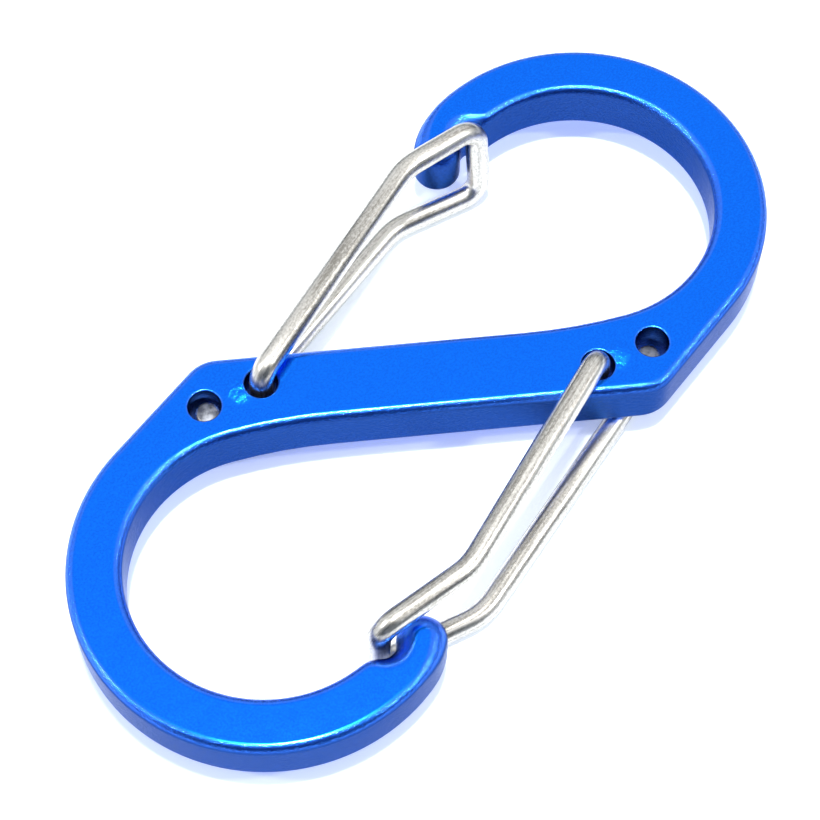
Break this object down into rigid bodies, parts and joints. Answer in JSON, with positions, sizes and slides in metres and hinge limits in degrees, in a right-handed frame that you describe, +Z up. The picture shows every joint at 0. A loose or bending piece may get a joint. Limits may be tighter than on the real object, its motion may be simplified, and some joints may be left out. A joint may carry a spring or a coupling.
{
  "type": "double gated carabiner",
  "caption": "Flat S-shaped double carabiner with a sprung wire gate closing each hook, for clipping keys to a bag or belt.",
  "frame": {"origin": "middle of the footprint, on the plane that the lower gate wires lie on", "axes": "+X along the long axis of the S, from hook B to hook A; +Y across it, towards hook A's nose; +Z up through the plate"},
  "size_m": [0.06, 0.0258, 0.0079],
  "materials": {
    "blue_anodised_aluminium": "blue anodised over a fine tumbled grain, satin",
    "bright_spring_wire": "bright drawn spring wire with fine die lines"
  },
  "bodies": {
    "frame": {"s_frame": "blue_anodised_aluminium"},
    "gate_a_upper": {"gate_a_upper_leg": "bright_spring_wire"},
    "gate_a_lower": {"gate_a_lower_leg": "bright_spring_wire"},
    "gate_b_upper": {"gate_b_upper_leg": "bright_spring_wire"},
    "gate_b_lower": {"gate_b_lower_leg": "bright_spring_wire"}
  },
  "joints": [
    {"name": "gate_a_hinge", "type": "hinge", "parent": "frame", "child": "gate_a_upper", "pos_m": [-0.00735, 0.00847, 0], "axis": [0, 0, -1], "range_deg": [0, 22], "stiffness_Nm_per_rad": 0.05, "springref_deg": -2.86},
    {"name": "gate_a_flex", "type": "hinge", "parent": "gate_a_upper", "child": "gate_a_lower", "pos_m": [0.01592, -0.00346, 0], "axis": [0, 0, -1], "range_deg": [-3.5, 0.5]},
    {"name": "gate_b_hinge", "type": "hinge", "parent": "frame", "child": "gate_b_upper", "pos_m": [0.00735, -0.00847, 0], "axis": [0, 0, -1], "range_deg": [0, 22], "stiffness_Nm_per_rad": 0.05, "springref_deg": -2.86},
    {"name": "gate_b_flex", "type": "hinge", "parent": "gate_b_upper", "child": "gate_b_lower", "pos_m": [-0.01622, 0.00361, 0], "axis": [0, 0, -1], "range_deg": [-3.5, 0.5]}
  ],
  "couplings": [
    {"joint": "gate_a_flex", "follows": "gate_a_hinge", "ratio": -0.13506},
    {"joint": "gate_b_flex", "follows": "gate_b_hinge", "ratio": -0.1336}
  ]
}
